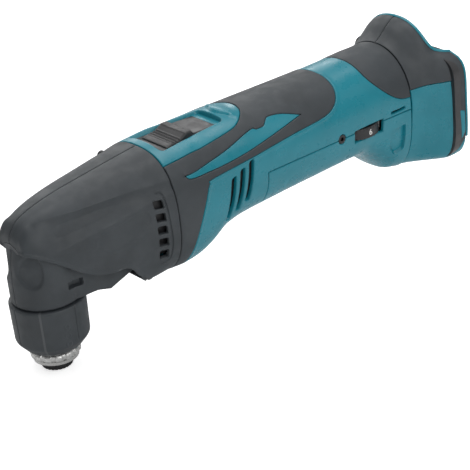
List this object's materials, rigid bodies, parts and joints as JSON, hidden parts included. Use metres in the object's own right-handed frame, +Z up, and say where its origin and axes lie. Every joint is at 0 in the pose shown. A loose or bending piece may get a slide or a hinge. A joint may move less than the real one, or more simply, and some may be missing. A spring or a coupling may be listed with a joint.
{
  "type": "oscillating multi tool",
  "caption": "Cordless oscillating multi tool without its battery: slim teal and grey body, angled spindle head with an accessory clamp, slide switch and speed dial.",
  "frame": {"origin": "centre of the bounding box's bottom: on the plane that the clamp bolt's head touches, midway between the collar's front and the battery end", "axes": "+X back along the motor's axis to the battery end, +Z up, away from the accessory, -Y the tool's left side with the speed dial"},
  "size_m": [0.2722, 0.08, 0.1106],
  "materials": {
    "teal_plastic": "fine satin moulded nylon",
    "soft_grip": "matt dark grey elastomer with a fine grain",
    "black_plastic": "satin black nylon",
    "cast_aluminium": "die cast",
    "bright_steel": "turned and ground",
    "black_steel": "black oxide",
    "copper": "bare copper",
    "carbon": "pressed carbon",
    "circuit_board": "lacquered board",
    "red_sleeve": "wire sleeve",
    "clear_lens": "clear polycarbonate"
  },
  "bodies": {
    "housing": {"head_cover_left": "soft_grip", "head_cover_right": "soft_grip", "gear_cover_left": "soft_grip", "gear_cover_right": "soft_grip", "guard_collar": "soft_grip", "grip_overmould": "soft_grip", "neck_overmould": "soft_grip", "rear_overmould_left": "soft_grip", "rear_overmould_right": "soft_grip", "main_housing": "teal_plastic", "lower_cover": "teal_plastic", "switch_panel": "teal_plastic", "rear_housing_left": "teal_plastic", "rear_housing_right": "teal_plastic", "battery_interface": "black_plastic", "terminal_block": "black_plastic", "power_switch": "black_plastic", "potentiometer": "black_plastic", "brush_plate": "black_plastic", "dust_seal": "black_plastic", "lead_negative": "black_plastic", "lead_positive": "red_sleeve", "controller_board": "circuit_board", "light_board": "circuit_board", "light_lens": "clear_lens", "gear_housing": "cast_aluminium", "spindle_bearing_upper": "bright_steel", "spindle_bearing_lower": "bright_steel", "motor_bearing_front": "bright_steel", "motor_bearing_rear": "bright_steel", "motor_can": "black_steel", "head_screw_1": "black_steel", "head_screw_2": "black_steel", "gear_cover_screw_1": "black_steel", "lower_cover_screw_left": "black_steel", "lower_cover_screw_right": "black_steel", "rear_screw_1": "black_steel", "rear_screw_2": "black_steel", "terminal_positive": "copper", "terminal_negative": "copper", "carbon_brush_left": "carbon", "carbon_brush_right": "carbon"},
    "spindle": {"spindle": "bright_steel", "drive_flange": "bright_steel", "swing_fork": "bright_steel"},
    "clamp_washer": {"clamp_flange": "black_steel"},
    "clamp_screw": {"clamp_bolt": "black_steel"},
    "motor_rotor": {"motor_shaft": "bright_steel", "eccentric_bearing": "bright_steel", "rotor_core": "black_steel", "commutator": "copper", "fan": "black_plastic"},
    "switch_slider": {"switch_button": "black_plastic", "switch_rod": "black_plastic"},
    "dial": {"speed_dial": "black_plastic"}
  },
  "joints": [
    {"name": "spindle_oscillation", "type": "hinge", "parent": "housing", "child": "spindle", "pos_m": [-0.11655, 0, 0.0696], "axis": [0, 0, 1], "range_deg": [-1.6, 1.6]},
    {"name": "motor_spin", "type": "hinge", "parent": "housing", "child": "motor_rotor", "pos_m": [-0.08855, 0, 0.0696], "axis": [1, 0, 0], "continuous": true},
    {"name": "clamp_lift", "type": "slide", "parent": "spindle", "child": "clamp_washer", "axis": [0, 0, -1], "range_m": [0, 0.004]},
    {"name": "clamp_screw_turn", "type": "hinge", "parent": "clamp_washer", "child": "clamp_screw", "pos_m": [-0.11655, 0, 0.005], "axis": [0, 0, -1], "range_deg": [-1440.5, 0]},
    {"name": "switch_slide", "type": "slide", "parent": "housing", "child": "switch_slider", "axis": [-1, 0, 0], "range_m": [0, 0.0045]},
    {"name": "dial_turn", "type": "hinge", "parent": "housing", "child": "dial", "pos_m": [0.07595, -0.0132, 0.0647], "axis": [0, 0, 1], "range_deg": [0, 250]}
  ],
  "couplings": [
    {"joint": "clamp_screw_turn", "follows": "clamp_lift", "rad_per_m": -6283.2}
  ]
}
